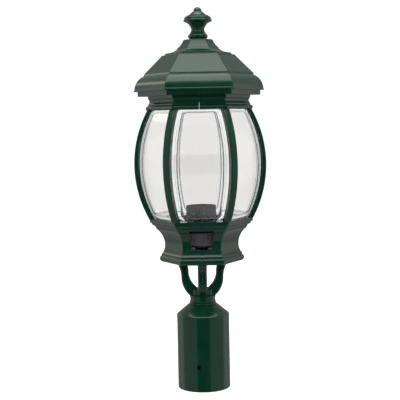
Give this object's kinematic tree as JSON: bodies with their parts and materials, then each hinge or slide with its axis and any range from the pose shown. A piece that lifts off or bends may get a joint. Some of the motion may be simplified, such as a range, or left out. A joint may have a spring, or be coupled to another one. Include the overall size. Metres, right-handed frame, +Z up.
{
  "type": "post-top lantern",
  "caption": "Hexagonal post-top lantern with a sleeve for a round post, bowed ribs and bevelled panes, a lampholder, and a lift-off roof held by a screw-down finial.",
  "frame": {"origin": "centre of the sleeve's mouth, on the plane of its lower rim", "axes": "+Z up the post's axis to the finial, -Y towards the front face with the seam and window, +X to the right"},
  "size_m": [0.1666, 0.1486, 0.4809],
  "materials": {
    "green_paint": "gloss powder coat",
    "clear_glass": "polished, bevelled edges",
    "holder_plastic": "moulded, satin",
    "holder_ceramic": "glazed",
    "brass": "drawn",
    "zinc_plated_steel": "zinc plated",
    "grub_steel": "black oxide",
    "terminal_plastic": "moulded",
    "live_insulation": "extruded",
    "neutral_insulation": "extruded"
  },
  "bodies": {
    "lantern": {"post_sleeve": "green_paint", "hollow_bolt": "zinc_plated_steel", "bolt_washer": "zinc_plated_steel", "bolt_nut": "zinc_plated_steel", "arms_left": "green_paint", "arms_right": "green_paint", "cage_left": "green_paint", "cage_right": "green_paint", "seam_screws": "zinc_plated_steel", "pane_front": "clear_glass", "pane_front_right": "clear_glass", "pane_back_right": "clear_glass", "pane_back": "clear_glass", "pane_back_left": "clear_glass", "pane_front_left": "clear_glass", "glass_clips": "zinc_plated_steel", "clip_screws": "zinc_plated_steel", "lampholder_bracket": "zinc_plated_steel", "bracket_screws": "zinc_plated_steel", "lampholder_nipple": "brass", "nipple_nuts": "zinc_plated_steel", "lampholder_cap": "holder_plastic", "lampholder_skirt": "holder_plastic", "lampholder_insert": "holder_ceramic", "contact_shell": "brass", "centre_contact": "brass", "terminal_block": "terminal_plastic", "terminal_screws": "zinc_plated_steel", "earth_screw": "brass", "lead_live": "live_insulation", "lead_neutral": "neutral_insulation", "roof_bridge": "zinc_plated_steel", "bridge_screws": "zinc_plated_steel", "roof_stud": "zinc_plated_steel", "stud_nuts": "zinc_plated_steel"},
    "roof": {"roof_shell": "green_paint"},
    "finial_washer": {"finial_washer": "zinc_plated_steel"},
    "finial": {"finial": "green_paint"},
    "grub_front": {"grub_screw_front": "grub_steel"},
    "grub_right": {"grub_screw_right": "grub_steel"},
    "grub_left": {"grub_screw_left": "grub_steel"}
  },
  "joints": [
    {"name": "roof_lift", "type": "slide", "parent": "lantern", "child": "roof", "axis": [0, 0, 1], "range_m": [0, 0.09]},
    {"name": "finial_rise", "type": "slide", "parent": "roof", "child": "finial_washer", "axis": [0, 0, 1], "range_m": [0, 0.011]},
    {"name": "finial_turn", "type": "hinge", "parent": "finial_washer", "child": "finial", "pos_m": [0, 0, 0.451], "axis": [0, 0, 1], "range_deg": [0, 3961]},
    {"name": "grub_front_drive", "type": "slide", "parent": "lantern", "child": "grub_front", "axis": [0.1908, 0.9816, 0], "range_m": [0, 0.0018]},
    {"name": "grub_right_drive", "type": "slide", "parent": "lantern", "child": "grub_right", "axis": [-0.9455, -0.3256, 0], "range_m": [0, 0.0018]},
    {"name": "grub_left_drive", "type": "slide", "parent": "lantern", "child": "grub_left", "axis": [0.7547, -0.6561, 0], "range_m": [0, 0.0018]}
  ],
  "couplings": [
    {"joint": "finial_turn", "follows": "finial_rise", "rad_per_m": 6283.2}
  ]
}
